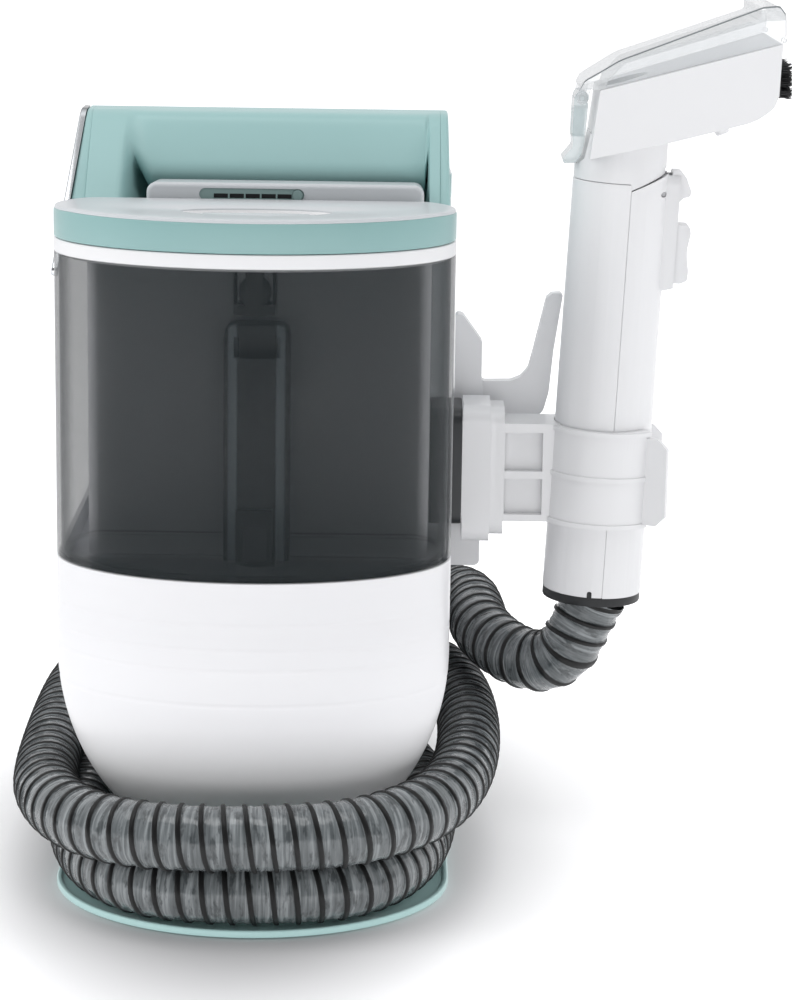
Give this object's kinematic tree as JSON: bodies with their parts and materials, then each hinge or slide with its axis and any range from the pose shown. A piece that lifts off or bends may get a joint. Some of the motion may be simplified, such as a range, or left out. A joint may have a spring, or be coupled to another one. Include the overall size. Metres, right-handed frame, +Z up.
{
  "type": "spot extractor",
  "caption": "Portable spot extractor with front and rear tanks, a raked carry handle, and a hand wand in a side clip whose ribbed suction hose winds round an oval base.",
  "frame": {"origin": "on the floor plane under the middle of the oval base plate", "axes": "+X to the right towards the wand, +Y to the back towards the clean-water tank, +Z up"},
  "size_m": [0.3825, 0.3866, 0.4286],
  "materials": {
    "teal_plastic": "satin moulded",
    "white_plastic": "glossy moulded",
    "smoke_tank": "tinted, clear",
    "clear_tank": "clear",
    "clear_window": "clear",
    "dark_plastic": "moulded",
    "float_foam": "matte",
    "seal_rubber": "matte",
    "bright_trim": "polished",
    "steel": "plain",
    "motor_can": "painted",
    "hose_grey": "ribbed, translucent",
    "water_line": "clear",
    "bristle_black": "bristles"
  },
  "bodies": {
    "housing": {"base_plate": "teal_plastic", "base_feet": "seal_rubber", "base_screws": "steel", "lower_housing": "white_plastic", "hose_port": "dark_plastic", "cord_inlet": "dark_plastic", "tank_deck": "white_plastic", "mid_tower": "white_plastic", "tower_screws": "steel", "handle_housing": "teal_plastic", "handle_back_cover": "teal_plastic", "side_cap_left": "teal_plastic", "side_cap_right": "teal_plastic", "side_trim": "bright_trim", "console_panel": "white_plastic", "vent_insert": "teal_plastic", "power_switch": "dark_plastic", "motor_cradle": "dark_plastic", "vacuum_motor": "motor_can", "fan_cover": "dark_plastic", "water_pump": "dark_plastic", "tank_port_seal": "seal_rubber", "wand_bracket": "white_plastic", "bracket_screws": "steel", "cord_hook": "white_plastic", "wand_left_shell": "white_plastic", "wand_right_shell": "white_plastic", "wand_collar": "dark_plastic", "water_tube": "water_line", "spray_valve": "dark_plastic", "trigger_pin": "steel", "trigger_spring": "steel", "hose_run": "hose_grey", "hose_coil": "hose_grey"},
    "fan": {"motor_shaft": "steel", "fan_impeller": "dark_plastic"},
    "power_button": {"power_button": "white_plastic"},
    "recovery_tank": {"recovery_tank": "smoke_tank", "tank_collar": "white_plastic", "inlet_duct": "dark_plastic"},
    "recovery_lid": {"tank_lid": "teal_plastic", "lid_panel": "white_plastic", "lid_seal": "seal_rubber", "float_cage": "dark_plastic"},
    "float": {"float_ball": "float_foam"},
    "clean_tank": {"clean_tank": "clear_tank", "clean_collar": "white_plastic", "valve_spring": "steel"},
    "clean_lid": {"clean_lid": "teal_plastic", "clean_panel": "white_plastic", "clean_seal": "seal_rubber"},
    "clean_valve": {"clean_valve": "dark_plastic"},
    "trigger": {"trigger": "white_plastic"},
    "release_hook": {"release_hook": "white_plastic"},
    "cleaning_head": {"head_body": "white_plastic", "brush_bristles": "bristle_black", "spray_tip": "dark_plastic"},
    "head_window": {"head_window": "clear_window"},
    "head_latch": {"head_latch": "clear_window"}
  },
  "joints": [
    {"name": "fan_spin", "type": "hinge", "parent": "housing", "child": "fan", "pos_m": [0, -0.035, 0.1], "axis": [0, 0, 1], "continuous": true},
    {"name": "power_button_press", "type": "slide", "parent": "housing", "child": "power_button", "axis": [0, 1, 0], "range_m": [0, 0.002], "stiffness_N_per_m": 300, "springref_m": -0.002},
    {"name": "recovery_tank_lift", "type": "slide", "parent": "housing", "child": "recovery_tank", "axis": [0, 0, 1], "range_m": [0, 0.16]},
    {"name": "recovery_lid_lift", "type": "slide", "parent": "recovery_tank", "child": "recovery_lid", "axis": [0, 0, 1], "range_m": [0, 0.06]},
    {"name": "float_rise", "type": "slide", "parent": "recovery_lid", "child": "float", "axis": [0, 0, 1], "range_m": [0, 0.018]},
    {"name": "clean_tank_lift", "type": "slide", "parent": "housing", "child": "clean_tank", "axis": [0, 0, 1], "range_m": [0, 0.16]},
    {"name": "clean_lid_lift", "type": "slide", "parent": "clean_tank", "child": "clean_lid", "axis": [0, 0, 1], "range_m": [0, 0.06]},
    {"name": "clean_valve_open", "type": "slide", "parent": "clean_tank", "child": "clean_valve", "axis": [0, 0, 1], "range_m": [0, 0.003], "stiffness_N_per_m": 200, "springref_m": -0.002, "deforming": ["valve_spring"]},
    {"name": "trigger_squeeze", "type": "hinge", "parent": "housing", "child": "trigger", "pos_m": [0.20262, 0, 0.31469], "axis": [0, 1, 0], "range_deg": [0, 6], "stiffness_Nm_per_rad": 0.3, "springref_deg": -2.86, "deforming": ["trigger_spring"]},
    {"name": "release_press", "type": "hinge", "parent": "housing", "child": "release_hook", "pos_m": [0.19827, 0, 0.33429], "axis": [0, 1, 0], "range_deg": [0, 4], "stiffness_Nm_per_rad": 0.3, "springref_deg": -2.86},
    {"name": "head_pull_off", "type": "slide", "parent": "housing", "child": "cleaning_head", "axis": [0.0436, 0, 0.999], "range_m": [0, 0.06]},
    {"name": "head_window_open", "type": "hinge", "parent": "cleaning_head", "child": "head_window", "pos_m": [0.2552, 0, 0.4125], "axis": [0, 1, 0], "range_deg": [0, 35]},
    {"name": "head_latch_release", "type": "hinge", "parent": "head_window", "child": "head_latch", "pos_m": [0.1566, 0, 0.3812], "axis": [0, 1, 0], "range_deg": [0, 20]}
  ]
}
